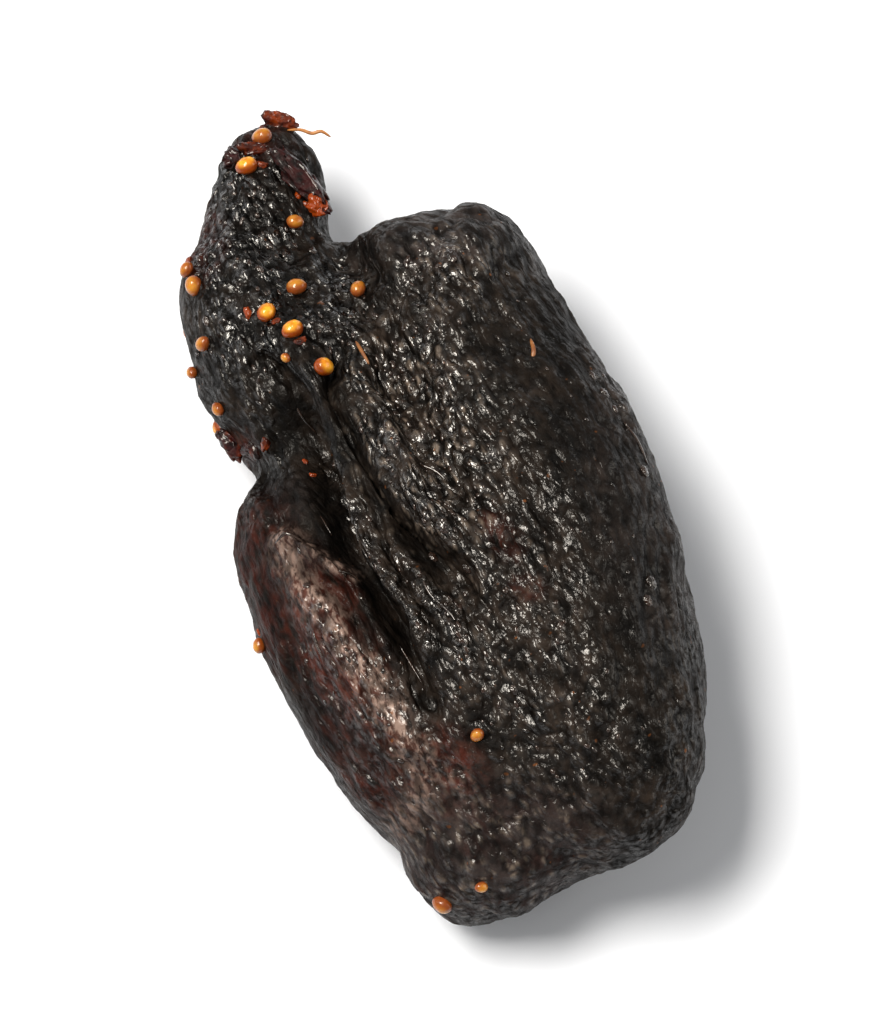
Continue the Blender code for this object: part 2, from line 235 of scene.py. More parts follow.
# Smaller scraps of torn flesh: place in the view, half size (mm), and how much each glows.
SCRAPS = (
    (-8.1, 17.3, 0.22, 0.75),
    (-7.65, 16.65, 0.26, 0.8),
    (-7.2, 16.1, 0.22, 0.7),
    (-8.5, 18.2, 0.26, 0.2),
    (-8.2, 20.3, 0.26, 0.6),
    (-9.4, 20.3, 0.3, 0.5),
    (-10.9, 18.9, 0.4, 0.0),
    (-9.6, 18.2, 0.26, 0.6),
    (-10.2, 10.3, 0.26, 0.75),
    (-8.75, 9.85, 0.22, 0.6),
    (-7.45, 8.8, 0.26, 0.5),
    (-13.4, 13.1, 0.26, 0.6),
    (-9.9, 3.2, 0.42, 0.35),
    (-9.3, 3.5, 0.3, 0.45),
    (-10.3, 3.3, 0.34, 0.2),
    (-6.8, 1.9, 0.16, 0.6),
    (-7.2, 2.6, 0.15, 0.6),
    (-9.6, -6.2, 0.16, 0.8),
)
SCRAP_TURN = 137
SCRAP_FORM = (0.8, 1.2, 0.6)

# Dry fibres: places in the view and height over the skin (mm), half width, half thickness, and how dull.
FIBRES = (
    (
        ((-8.3, 20.1, 0.1), (-7.6, 20.1, 0.5), (-7.0, 19.9, 0.8), (-6.5, 20.0, 0.9), (-6.0, 19.7, 0.9)),
        0.1,
        0.07,
        0.0,
    ),
    (((4.4, 8.9, 0.1), (4.55, 8.2, 0.15), (4.3, 7.2, 0.1)), 0.12, 0.08, 0.4),
    (((-4.6, 8.8, 0.1), (-4.3, 8.3, 0.12), (-3.9, 7.6, 0.1)), 0.1, 0.07, 0.6),
)

# Threads of dried juice: places in the view and half width (mm).
THREADS = (
    (((-8.3, 6.9), (-7.5, 5.1), (-6.6, 4.0)), 0.07),
    (((-7.1, 6.9), (-6.0, 5.6), (-5.7, 4.0)), 0.06),
    (((-8.7, -1.6), (-8.1, -1.1), (-7.0, -1.8), (-6.2, -2.4), (-5.4, -2.9)), 0.11),
    (((-5.4, -3.0), (-4.6, -3.3), (-4.0, -4.4)), 0.08),
    (((-6.4, -0.2), (-5.8, -1.2)), 0.06),
    (((-1.3, -2.9), (-0.8, -4.1), (0.4, -5.3), (0.9, -6.6)), 0.08),
    (((-3.8, -2.6), (-3.0, -3.6), (-2.3, -4.1), (-1.6, -4.8)), 0.09),
    (((-2.3, -6.8), (-1.7, -7.8), (-1.1, -8.8)), 0.07),
    (((-1.2, 2.4), (-0.5, 2.1), (0.1, 1.6)), 0.08),
    (((-6.7, -6.1), (-6.5, -6.8), (-6.2, -7.4)), 0.1),
    (((9.2, 4.6), (9.9, 3.6), (10.4, 2.4)), 0.08),
)
THREAD_LIFT = 0.02
THREAD_FLATNESS = 0.8
STRAND_STEP = 0.8 * MM
STRAND_CUTS = 5
STRAND_SIDES = 8
STRAND_TIP = 0.25

# Larger drops of juice: place in the view and half size (mm).
BIG_DROPS = (
    (-0.1, -0.7, 0.42),
    (-0.6, -2.3, 0.3),
    (1.1, -2.9, 0.28),
    (0.3, 13.2, 0.42),
    (10.2, 2.1, 0.34),
    (5.9, -5.8, 0.28),
    (3.5, -9.0, 0.26),
    (-5.2, -3.1, 0.24),
    (-12.4, 9.9, 0.26),
    (-9.6, 12.6, 0.24),
    (-6.9, 13.6, 0.26),
    (7.6, 7.0, 0.26),
    (8.2, 6.1, 0.32),
    (8.7, 5.3, 0.24),
    (10.5, -3.6, 0.36),
    (10.3, -4.5, 0.3),
)
BIG_DROP_FORM = (0.7, 1.0, 0.4)
BIG_DROP_SWELL = 0.35
BIG_DROP_RATE = 2.6

# Small drops are tried all over the seen face (mm), and kept where the skin is grainy.
DROP_TRIES = 2600
DROP_SPAN_RIGHT = (-14.0, 11.0)
DROP_SPAN_UP = (-14.0, 20.0)
DROP_SIZE = (0.05, 0.13)
DROP_STRETCH = (1.0, 2.2)
DROP_TURN = 0.35
DROP_FLATNESS = 0.55
DROP_FACING = 0.3
DROP_SWELL = 0.25
DROP_RATE = 1.3
DROP_SEED = 5

# How fine the net of each kind of lump is, as subdivisions of a ball.
DROP_DETAIL = 2
SCRAP_DETAIL = 3
LUMP_DETAIL = 4

# Oval patches of the view: centre and half sizes (mm), heading in degrees, and strength. First the red skin.
RED_PATCHES = (
    ((-6.2, -6.5), (2.6, 6.5), 28, 0.8),
    ((-9.6, -4.0), (1.4, 5.0), 14, 1.0),
    ((-3.6, -12.5), (2.6, 4.6), 32, 0.7),
    ((0.0, -13.4), (2.2, 2.8), 30, 1.0),
    ((1.5, -17.4), (6.5, 3.4), 8, 0.35),
    ((-5.6, -3.9), (1.1, 1.8), 40, 1.0),
    ((-9.0, -0.8), (1.6, 2.0), 0, 0.6),
    ((2.9, -1.2), (0.9, 1.6), 40, 0.5),
    ((4.2, -3.8), (1.1, 0.8), 0, 0.45),
    ((-9.6, 19.6), (2.2, 1.6), 0, 0.5),
    ((-12.8, 14.2), (1.5, 2.4), 0, 1.0),
    ((-10.8, 3.2), (1.2, 1.2), 0, 0.6),
)
# A greyish bloom, partly a painted sheen on the right side and at the eye end.
BLOOM_AND_SHEEN_PATCHES = (
    ((0.6, 14.6), (4.6, 1.9), 8, 1.0),
    ((9.6, 0.5), (2.6, 8.0), 10, 0.55),
    ((-8.2, 0.6), (1.6, 1.4), 30, 0.8),
    ((-4.6, 13.4), (1.6, 1.0), 0, 0.6),
    ((-4.9, -11.5), (1.2, 3.6), 30, 0.6),
    ((1.5, -17.2), (7.5, 4.2), 8, 1.25),
)
# Granules with pale brown tops: part dust, part a painted highlight on each granule's top.
DUST_AND_HIGHLIGHT_PATCHES = (
    ((-1.2, 3.6), (4.2, 7.0), 22, 1.0),
    ((1.0, 12.6), (4.0, 3.0), 10, 0.5),
    ((1.5, -17.2), (7.0, 4.0), 8, 0.95),
    ((3.4, -6.0), (5.0, 9.0), 22, 0.25),
)
# Painted shade on the neck, which darkens its skin there.
NECK_SHADE_PATCHES = (
    ((-10.2, 14.0), (4.0, 8.5), 4, 0.62),
    ((-6.5, 10.5), (2.6, 3.6), 20, 0.5),
)
# Skin with high granules and a sticky gloss.
GRAINY_PATCHES = (
    ((-1.2, 4.0), (4.4, 7.0), 20, 1.0),
    ((-0.2, 12.0), (2.8, 3.4), 0, 0.7),
    ((-10.4, 13.0), (3.6, 7.5), 4, 0.8),
    ((-5.5, 10.5), (2.6, 3.6), 20, 0.75),
    ((3.4, -6.0), (5.0, 9.0), 22, 0.45),
    ((8.6, 6.6), (2.4, 4.2), 32, 0.5),
    ((-5.4, -8.0), (1.6, 6.5), 30, 0.45),
)
PLAIN_GRAIN = 0.3
LEAST_GRAIN = 0.04
PATCH_FADE = (0.45, 1.25)
PAINT_FACING = (-0.1, 0.4)
CREST_HEIGHTS = (-0.05, 0.06)

# The pale painted sheen and highlight on the left lobe and at the eye end: lines of the view, half width (mm)
# and strength.
PAINTED_SHEEN_LINES = (
    (
        ((-8.3, -2.2), (-7.1, -3.8), (-5.9, -5.1), (-5.0, -6.8), (-4.0, -8.2), (-2.8, -9.8), (-1.5, -12.6)),
        0.8,
        1.05,
    ),
    (((-8.8, -1.6), (-8.1, -1.0), (-7.0, -1.8), (-6.3, -2.3), (-5.4, -2.9), (-4.6, -3.3)), 0.28, 1.3),
    (((-0.6, -13.2), (-1.4, -14.8), (-2.4, -16.0)), 0.8, 0.6),
    (((0.2, -12.4), (0.8, -14.8)), 1.3, 0.12),
)

# Lines of the view where the skin is smooth (negative) or grainy: the line, its half width (mm) and strength.
# Smooth skin is also darkened with painted shade.
GRAINY_LINES = (
    (((-5.8, 6.0), (-5.1, 4.1), (-4.2, 2.3), (-2.9, 0.5), (-1.7, -1.3), (-0.5, -2.5)), 0.6, -1.0),
    (
        ((-8.1, 6.1), (-7.6, 4.0), (-6.7, 1.9), (-5.8, 0.5), (-4.9, -1.9), (-3.4, -3.8), (-2.0, -6.6)),
        0.55,
        -0.9,
    ),
    (((-8.6, 0.9), (-7.4, -0.3), (-6.4, -1.1)), 0.8, -0.8),
    (((-6.8, -3.2), (-5.5, -4.3), (-4.3, -6.0)), 0.7, -0.7),
    (((-10.0, -1.8), (-9.3, -4.0), (-8.8, -6.5), (-7.6, -9.5), (-6.2, -12.0)), 1.2, -0.25),
    (((-7.1, -3.8), (-5.9, -5.1), (-5.0, -6.8), (-4.0, -8.2), (-2.8, -9.8)), 0.7, 0.4),
    (((-6.2, 2.4), (-5.3, 0.9), (-4.6, -0.5), (-3.7, -2.6), (-2.2, -4.1), (-0.9, -6.4)), 0.45, 0.9),
    (((-2.7, -1.9), (-0.8, -4.1), (0.4, -5.3), (1.0, -7.0)), 0.4, 0.7),
    (((-3.0, -17.6), (6.0, -16.6)), 2.4, -0.08),
    (((9.6, 0.0), (9.4, -8.0)), 2.0, -0.15),
    (((6.4, 10.0), (7.6, 3.0)), 1.6, -0.15),
)

# Colours of the skin, as linear red, green and blue.
SKIN_DARK = (0.006, 0.0046, 0.0037)
SKIN_LIGHT = (0.026, 0.0185, 0.0142)
SKIN_RED = (0.075, 0.014, 0.007)
# The bloom colour is also a painted sheen.
SKIN_BLOOM_AND_SHEEN = (0.046, 0.037, 0.036)
# The dust colour is also a painted highlight on granule tops.
SKIN_DUST_AND_HIGHLIGHT = (0.17, 0.135, 0.108)
# The pale colour is a painted sheen.
SKIN_PAINTED_SHEEN = (0.3, 0.21, 0.175)
SKIN_SPECK = (0.2, 0.07, 0.02)

# Lengths in the skin's material (mm), and the heading of the fine hair-like streaks in its painted sheen.
MOTTLE = 2.2
STREAK = 0.5
SPECK = 0.5
HAIR = 0.3
HAIR_HEADING = math.radians(40)
HAIR_STRETCH = (1.0, 0.35, 0.7)
ALONG_STRETCH = (1.0, 0.5, 1.0)
CELL_SHARE = 0.9
CELL_WARP_SIZE = 0.8
CELL_WARP_REACH = 0.3
DROPLET = 0.35
WEAR = 0.7
RIB = 0.32
RIB_HEIGHT = 0.1
GRANULE_BUMP = 0.42
PORE = 0.12
PORE_HEIGHT = 0.022

# Parts of a noise's or a layer's range over which a look comes in, and the shares it gives at their ends.
MIDDLE_RANGE = (0.3, 0.7)
MOTTLE_RANGE = (0.35, 0.7)
RED_RANGE = (0.3, 0.62)
BLOOM_AND_SHEEN_RANGE = (0.3, 0.75)
BLOOM_AND_SHEEN_SHARES = (0.2, 0.8)
TOP_RANGE = (0.18, 0.5)
DUST_AND_HIGHLIGHT_RANGE = (0.38, 0.58)
DUST_AND_HIGHLIGHT_SHARES = (0.12, 1.0)
PAINTED_SHEEN_RANGE = (0.42, 0.6)
PAINTED_SHEEN_SHARES = (0.08, 1.0)
SPECK_RANGE = (0.74, 0.8)
SPECK_SHARES = (0.0, 0.7)
# Painted shade in the valleys and on smooth skin.
VALLEY_SHADE_RANGE = (0.0, 0.8)
VALLEY_SHADE_SHARES = (0.3, 1.0)
SMOOTH_SHADE_RANGE = (0.04, 0.5)
SMOOTH_SHADE_SHARES = (0.45, 1.0)
GRANULE_SLOPES = (-0.25, -1.0)
GLOSS_RANGE = (0.34, 0.56)
GLOSS_CELL_RANGE = (0.38, 0.72)
GLOSS_CELL_SHARES = (1.0, 0.2)
SKIN_ROUGHNESS = (0.45, 0.65)
SEED_SHADE_RANGE = (0.62, 0.99)
TORN_RANGE = (0.35, 0.65)
GLOW_RANGE = (0.8, 1.25)

# Colours of the smaller things and of the floor.
SEED_AMBER = (0.52, 0.15, 0.003)
SEED_GOLD = (0.9, 0.44, 0.03)
# The rim colour is painted shade towards the base of each seed.
SEED_BASE_SHADE = (0.24, 0.042, 0.002)
SEED_DULL = (0.2, 0.055, 0.012)
FLESH_DARK = (0.005, 0.002, 0.002)
FLESH_RED = (0.032, 0.006, 0.006)
FLESH_GLOW = (0.24, 0.035, 0.003)
JUICE_DARK = (0.006, 0.004, 0.003)
JUICE_BROWN = (0.03, 0.015, 0.01)
STRAW_BROWN = (0.24, 0.08, 0.02)
STRAW_PALE = (0.45, 0.19, 0.05)
STRAW_DULL = (0.1, 0.035, 0.015)
FLOOR_DARK = (0.76, 0.81, 0.9)
FLOOR_LIGHT = (0.78, 0.83, 0.92)


def add_object(name, data):
    made = bpy.data.objects.new(name, data)
    bpy.context.scene.collection.objects.link(made)
    return made


def applied(made):
    """The object's mesh with its modifiers applied. The object is removed."""
    graph = bpy.context.evaluated_depsgraph_get()
    mesh = bpy.data.meshes.new_from_object(made.evaluated_get(graph), depsgraph=graph)
    bpy.data.objects.remove(made)
    return mesh


def remeshed(mesh, voxel, smoothing):
    """One skin round the mesh, of even faces."""
    made = add_object("remeshed", mesh)
    join = made.modifiers.new("join", "REMESH")
    join.mode = "VOXEL"
    join.voxel_size = voxel
    if smoothing:
        soften = made.modifiers.new("soften", "SMOOTH")
        soften.factor = 0.5
        soften.iterations = smoothing
    return applied(made)


def lobed_body():
    """The lobes run together into one skin, with soft creases where they meet."""
    bm = bmesh.new()
    for _, centre, half, heading in LOBES:
        place = (
            Matrix.Translation(Vector(centre) * MM)
            @ Matrix.Rotation(math.radians(heading), 4, "Z")
            @ Matrix.Diagonal((*(Vector(half) * MM), 1.0))
        )
        bmesh.ops.create_icosphere(bm, subdivisions=LOBE_DETAIL, radius=1.0, matrix=place)
    mesh = bpy.data.meshes.new("lobes")
    bm.to_mesh(mesh)
    bm.free()
    return remeshed(mesh, LOBE_VOXEL, LOBE_SMOOTHING)


def finer_where_seen(mesh):
    """An even net of faces over the skin, with smaller ones on the face that is seen."""
    net = add_object("net", remeshed(mesh, NET_VOXEL, 0))
    split = net.modifiers.new("split", "SUBSURF")
    split.levels = 1
    split.render_levels = 1
    mesh = applied(net)
    bm = bmesh.new()
    bm.from_mesh(mesh)
    edges = set()
    for face in bm.faces:
        if face.normal.dot(VIEW_BACK) > SEEN_FACING:
            edges.update(face.edges)
    bmesh.ops.subdivide_edges(bm, edges=list(edges), cuts=1, use_grid_fill=True, smooth=0.0)
    bmesh.ops.triangulate(bm, faces=[face for face in bm.faces if len(face.verts) > 4])
    bm.to_mesh(mesh)
    bm.free()
    return mesh


def view_places(points):
    """Where each point shows in the view, in mm to the right and up."""
    axes = np.array((VIEW_RIGHT, VIEW_UP)).T
    return (points - np.array(VIEW_CENTRE)) @ axes / MM


def view_point(right, up):
    """The point at this place of the view, in the plane through the fig's centre."""
    return VIEW_CENTRE + (VIEW_RIGHT * right + VIEW_UP * up) * MM


def gap_to_line(places, line):
    """How far each place is from a line of points, and how far along the line that is, from 0 to 1."""
    gaps = np.full(len(places), np.inf)
    along = np.zeros(len(places))
    steps = len(line) - 1
    for i in range(steps):
        start = np.array(line[i])
        run = np.array(line[i + 1]) - start
        part = np.clip((places - start) @ run / (run @ run), 0, 1)
        gap = np.linalg.norm(places - start - part[:, None] * run, axis=1)
        nearer = gap < gaps
        gaps[nearer] = gap[nearer]
        along[nearer] = (i + part[nearer]) / steps
    return gaps, along


def fold_heights(points, normals):
    """How far the folds of the seen face move each skin point out, in mm."""
    places = view_places(points)
    facing = np.clip(normals @ np.array(VIEW_BACK) * FOLD_FACING, 0, 1)
    heights = np.zeros(len(points))
    for _, line, width, depth in FOLDS:
        gaps, along = gap_to_line(places, line)
        fade = np.sqrt(np.sin(np.pi * along).clip(0, 1))
        heights -= depth * fade * facing * np.exp(-((gaps / width) ** 2))
    return heights


def wrinkle_heights(points, _normals):
    """How far the wrinkles and dents move each skin point out, in mm."""
    heights = np.empty(len(points))
    for i, (x, y, z) in enumerate(points / MM):
        bend = noise.noise_vector(Vector((x, y, z)) / BEND_LENGTH) * BEND_SHARE
        ribs = Vector((x / WRINKLE_ACROSS, y / WRINKLE_ALONG, z / WRINKLE_ACROSS)) + bend
        dents = Vector((x / DENT_ACROSS, y / DENT_ALONG, z / DENT_ACROSS))
        heights[i] = (abs(noise.noise(ribs)) - WRINKLE_MIDDLE) * WRINKLE_HEIGHT
        heights[i] += noise.noise(dents) * DENT_HEIGHT
    return heights


def granule_height(place):
    """Uneven granules, longer along the fig (mm)."""
    cell = Vector((place.x / GRANULE_ACROSS, place.y / GRANULE_ALONG, place.z / GRANULE_ACROSS))
    gap = noise.voronoi(cell + noise.noise_vector(place / GRANULE_PATCH) * GRANULE_WARP)[0][0]
    uneven = 1 + GRANULE_UNEVENNESS * noise.noise(place / GRANULE_PATCH)
    return (GRANULE_MIDDLE - gap * gap) * GRANULE_HEIGHT * uneven


def fine_heights(points, grainy):
    """Crumples, crinkles and granules (mm), higher where the skin is grainy."""
    heights = np.zeros(len(points))
    to_grain = Matrix.Rotation(-GRAIN_HEADING, 3, "Z")
    for i, point in enumerate(points / MM):
        place = to_grain @ Vector(point)
        total = 0.0
        for _, across, along, height, bend in FINE_RELIEF:
            warp = noise.noise_vector(place / (across * WANDER_LENGTH)) * bend
            spot = Vector((place.x / across, place.y / along, place.z / across)) + warp
            total += (abs(noise.noise(spot)) - WRINKLE_MIDDLE) * height
        total += granule_height(place)
        heights[i] = total * (PLAIN_RELIEF + (1 - PLAIN_RELIEF) * grainy[i])
    clear_of_floor = np.clip(points[:, 2] / PLAIN_EDGE, 0, 1)
    return heights * clear_of_floor


def read_skin(mesh):
    """The mesh's points and their normals, as two tables."""
    count = len(mesh.vertices)
    points = np.empty(count * 3)
    normals = np.empty(count * 3)
    mesh.vertices.foreach_get("co", points)
    mesh.vertices.foreach_get("normal", normals)
    return points.reshape(-1, 3), normals.reshape(-1, 3)


def write_skin(mesh, points):
    mesh.vertices.foreach_set("co", points.ravel())
    mesh.update()


def push_out(mesh, heights_of):
    """Move each skin point along its normal."""
    points, normals = read_skin(mesh)
    heights = heights_of(points, normals)
    write_skin(mesh, points + normals * heights[:, None] * MM)


def settle_on_floor(mesh):
    """Ease the underside flat near the floor."""
    points, _ = read_skin(mesh)
    height = points[:, 2]
    eased = (height + np.sqrt(height**2 + FLOOR_EASE**2)) / 2 - FLOOR_CUT
    points[:, 2] = np.maximum(eased, 0)
    write_skin(mesh, points)


def smooth_step(low, high, values):
    """0 up to low, 1 from high, and a soft rise between them."""
    share = np.clip((values - low) / (high - low), 0, 1)
    return share * share * (3 - 2 * share)


def patch(places, centre, half, heading):
    """1 in the middle of an oval patch of the view, falling to 0 past its edge."""
    angle = math.radians(heading)
    across = np.array((math.cos(angle), math.sin(angle)))
    along = np.array((-math.sin(angle), math.cos(angle)))
    gap = places - np.array(centre)
    far = np.hypot(gap @ across / half[0], gap @ along / half[1])
    return 1 - smooth_step(*PATCH_FADE, far)


def patches(places, table):
    """The strength of the strongest patch at each place."""
    total = np.zeros(len(places))
    for centre, half, heading, strength in table:
        total = np.maximum(total, strength * patch(places, centre, half, heading))
    return total


def along_lines(places, table):
    """The strengths of the lines at each place, which fade away from each line."""
    total = np.zeros(len(places))
    for line, width, strength in table:
        gaps, _ = gap_to_line(places, line)
        total += strength * np.exp(-((gaps / width) ** 2))
    return total


def graininess(places):
    """How grainy and sticky each place of the view is, from 0 to 1."""
    grainy = np.maximum(patches(places, GRAINY_PATCHES), PLAIN_GRAIN)
    return np.clip(grainy + along_lines(places, GRAINY_LINES), LEAST_GRAIN, 1)


def paint(mesh, name, values):
    """A value for each point of the mesh, which its material reads by name."""
    layer = mesh.attributes.new(name, "FLOAT", "POINT")
    layer.data.foreach_set("value", np.asarray(values, dtype=np.float32))


def build_skin():
    mesh = finer_where_seen(lobed_body())
    push_out(mesh, fold_heights)
    push_out(mesh, wrinkle_heights)
    settle_on_floor(mesh)
    points, normals = read_skin(mesh)
    places = view_places(points)
    facing = smooth_step(*PAINT_FACING, normals @ np.array(VIEW_BACK))
    grainy = facing * graininess(places) + (1 - facing) * PLAIN_GRAIN
    heights = fine_heights(points, grainy)
    write_skin(mesh, points + normals * heights[:, None] * MM)
    # Masks for the material: the bloom is partly a painted sheen, the dust partly a painted highlight, the
    # pale lines a painted sheen, and the crests and neck patches give painted shade.
    paint(mesh, "red", patches(places, RED_PATCHES) * facing)
    paint(mesh, "bloom_and_sheen", patches(places, BLOOM_AND_SHEEN_PATCHES) * facing)
    paint(mesh, "painted_sheen", np.clip(along_lines(places, PAINTED_SHEEN_LINES), 0, 1) * facing)
    paint(mesh, "grainy", grainy)
    paint(mesh, "dust_and_highlight", patches(places, DUST_AND_HIGHLIGHT_PATCHES) * facing)
    paint(mesh, "crest", smooth_step(*CREST_HEIGHTS, heights))
    paint(mesh, "dark", patches(places, NECK_SHADE_PATCHES) * facing)
    mesh.shade_smooth()
    return mesh


class Nodes:
    """A material's nodes, added one call at a time."""

    def __init__(self, name):
        self.material = bpy.data.materials.new(name)
        self.material.use_nodes = True
        self.tree = self.material.node_tree
        self.shader = self.tree.nodes["Principled BSDF"]

    def add(self, kind, **settings):
        node = self.tree.nodes.new(kind)
        for key, value in settings.items():
            setattr(node, key, value)
        return node

    def feed(self, socket, value):
        if isinstance(value, bpy.types.NodeSocket):
            self.tree.links.new(value, socket)
        else:
            socket.default_value = value

    def mapped(self, place, stretch, turn=0.0):
        """The place, stretched along the axes and turned about Z."""
        mapping = self.add("ShaderNodeMapping")
        mapping.inputs["Rotation"].default_value = (0.0, 0.0, turn)
        mapping.inputs["Scale"].default_value = stretch
        self.feed(mapping.inputs["Vector"], place)
        return mapping.outputs["Vector"]

    def object_place(self, stretch=(1.0, 1.0, 1.0), turn=0.0):
        """The place on the piece, in metres."""
        return self.mapped(self.add("ShaderNodeTexCoord").outputs["Object"], stretch, turn)

    def noise(self, place, size_mm, detail=3.0, roughness=0.55, distortion=0.0):
        """Noise whose lumps are about size_mm across."""
        node = self.add("ShaderNodeTexNoise")
        self.feed(node.inputs["Vector"], place)
        self.feed(node.inputs["Scale"], 1 / (size_mm * MM))
        self.feed(node.inputs["Detail"], detail)
        self.feed(node.inputs["Roughness"], roughness)
        self.feed(node.inputs["Distortion"], distortion)
        return node.outputs["Fac"]

    def warped(self, place, size_mm, reach_mm):
        """The place, moved about by noise, by up to about reach_mm."""
        node = self.add("ShaderNodeTexNoise")
        self.feed(node.inputs["Vector"], place)
        self.feed(node.inputs["Scale"], 1 / (size_mm * MM))
        self.feed(node.inputs["Detail"], 0.0)
        middle = self.add("ShaderNodeVectorMath", operation="SUBTRACT")
        self.feed(middle.inputs[0], node.outputs["Color"])
        self.feed(middle.inputs[1], (0.5, 0.5, 0.5))
        shift = self.add("ShaderNodeVectorMath", operation="SCALE")
        self.feed(shift.inputs[0], middle.outputs["Vector"])
        self.feed(shift.inputs["Scale"], 2 * reach_mm * MM)
        total = self.add("ShaderNodeVectorMath", operation="ADD")
        self.feed(total.inputs[0], place)
        self.feed(total.inputs[1], shift.outputs["Vector"])
        return total.outputs["Vector"]

    def cells(self, place, size_mm):
        """How far each place is from the middle of its cell, in cells of about size_mm."""
        node = self.add("ShaderNodeTexVoronoi", feature="F1")
        self.feed(node.inputs["Vector"], place)
        self.feed(node.inputs["Scale"], 1 / (size_mm * MM))
        return node.outputs["Distance"]

    def painted(self, name):
        return self.add("ShaderNodeAttribute", attribute_name=name).outputs["Fac"]

    def math(self, operation, a, b):
        node = self.add("ShaderNodeMath", operation=operation)
        self.feed(node.inputs[0], a)
        self.feed(node.inputs[1], b)
        return node.outputs["Value"]

    def times(self, a, b):
        return self.math("MULTIPLY", a, b)

    def spread(self, value, part, shares=(0.0, 1.0)):
        """The value with its given part spread softly between two shares."""
        node = self.add("ShaderNodeMapRange", interpolation_type="SMOOTHSTEP")
        for socket, number in zip(("From Min", "From Max", "To Min", "To Max"), (*part, *shares)):
            self.feed(node.inputs[socket], number)
        self.feed(node.inputs["Value"], value)
        return node.outputs["Result"]

    def mix(self, share, first, second, **settings):
        """From the first colour to the second one."""
        node = self.add("ShaderNodeMix", data_type="RGBA", **settings)
        for socket, value in (("Factor", share), ("A", first), ("B", second)):
            self.feed(node.inputs[socket], (*value, 1.0) if isinstance(value, tuple) else value)
        return node.outputs["Result"]

    def bump(self, height, distance_mm, over=None):
        node = self.add("ShaderNodeBump")
        self.feed(node.inputs["Strength"], 1.0)
        self.feed(node.inputs["Distance"], distance_mm * MM)
        self.feed(node.inputs["Height"], height)
        if over is not None:
            self.feed(node.inputs["Normal"], over)
        return node.outputs["Normal"]

    def shade(self, name, value):
        self.feed(self.shader.inputs[name], value)


def skin_colour(nodes, place, along, cells, grainy):
    """Near-black skin with red parts, grey bloom that is partly a painted sheen, dust that is partly a
    painted highlight, a pale painted sheen, and painted shade in its valleys, on smooth skin and on the neck.
    """
    mottle = nodes.noise(place, MOTTLE, 4.0)
    streak = nodes.noise(along, STREAK, 4.0, 0.6, 0.4)
    hair = nodes.noise(nodes.object_place(HAIR_STRETCH, -HAIR_HEADING), HAIR, 3.0, 0.6, 0.4)
    speck = nodes.noise(place, SPECK, 1.0)
    base = nodes.mix(nodes.spread(mottle, MOTTLE_RANGE), SKIN_DARK, SKIN_LIGHT)
    red_share = nodes.times(nodes.painted("red"), nodes.spread(streak, RED_RANGE))
    base = nodes.mix(red_share, base, SKIN_RED)
    # Grey bloom, partly a painted sheen.
    bloom_and_sheen_share = nodes.times(nodes.painted("bloom_and_sheen"), nodes.spread(mottle, BLOOM_AND_SHEEN_RANGE, BLOOM_AND_SHEEN_SHARES))
    base = nodes.mix(bloom_and_sheen_share, base, SKIN_BLOOM_AND_SHEEN)
    # Dust on the granules' tops, partly a painted highlight.
    dust_and_highlight_share = nodes.times(nodes.painted("dust_and_highlight"), nodes.spread(streak, DUST_AND_HIGHLIGHT_RANGE, DUST_AND_HIGHLIGHT_SHARES))
    tops = nodes.spread(cells, TOP_RANGE, (1.0, 0.0))
    base = nodes.mix(nodes.times(dust_and_highlight_share, tops), base, SKIN_DUST_AND_HIGHLIGHT)
    # A pale painted sheen, streaked like hair.
    painted_sheen_share = nodes.times(nodes.painted("painted_sheen"), nodes.spread(hair, PAINTED_SHEEN_RANGE, PAINTED_SHEEN_SHARES))
    base = nodes.mix(painted_sheen_share, base, SKIN_PAINTED_SHEEN)
    base = nodes.mix(nodes.spread(speck, SPECK_RANGE, SPECK_SHARES), base, SKIN_SPECK)
    # Painted shade: darker in the valleys between granules, on smooth skin, and on the neck.
    shade = nodes.spread(nodes.painted("crest"), VALLEY_SHADE_RANGE, VALLEY_SHADE_SHARES)
    shade = nodes.times(shade, nodes.spread(grainy, SMOOTH_SHADE_RANGE, SMOOTH_SHADE_SHARES))
    shade = nodes.times(shade, nodes.math("SUBTRACT", 1.0, nodes.painted("dark")))
    return nodes.mix(1.0, base, shade, blend_type="MULTIPLY")


def skin_relief(nodes, place, along, cells, grainy):
    """Ribs, granules and pores too small for the net."""
    ribs = nodes.bump(nodes.noise(along, RIB, 2.0, 0.5, 0.5), RIB_HEIGHT)
    granules = nodes.times(cells, nodes.spread(grainy, (0.0, 1.0), GRANULE_SLOPES))
    grained = nodes.bump(granules, GRANULE_BUMP, over=ribs)
    return nodes.bump(nodes.noise(place, PORE, 2.0), PORE_HEIGHT, over=grained)


def skin_material():
    nodes = Nodes("fig_skin")
    place = nodes.object_place()
    along = nodes.mapped(nodes.object_place(turn=-GRAIN_HEADING), ALONG_STRETCH)
    cells = nodes.cells(nodes.warped(along, CELL_WARP_SIZE, CELL_WARP_REACH), GRANULE_ACROSS * CELL_SHARE)
    grainy = nodes.painted("grainy")
    relief = skin_relief(nodes, place, along, cells, grainy)
    droplets = nodes.spread(nodes.noise(place, DROPLET, 2.0), GLOSS_RANGE)
    droplets = nodes.times(droplets, nodes.spread(cells, GLOSS_CELL_RANGE, GLOSS_CELL_SHARES))
    nodes.shade("Base Color", skin_colour(nodes, place, along, cells, grainy))
    nodes.shade("Roughness", nodes.spread(nodes.noise(place, WEAR), MIDDLE_RANGE, SKIN_ROUGHNESS))
    nodes.shade("Specular IOR Level", 0.06)
    nodes.shade("Normal", relief)
    nodes.shade("Coat Normal", relief)
    nodes.shade("Coat Weight", nodes.times(grainy, droplets))
    nodes.shade("Coat Roughness", 0.12)
    nodes.shade("Coat IOR", 1.95)
    return nodes.material


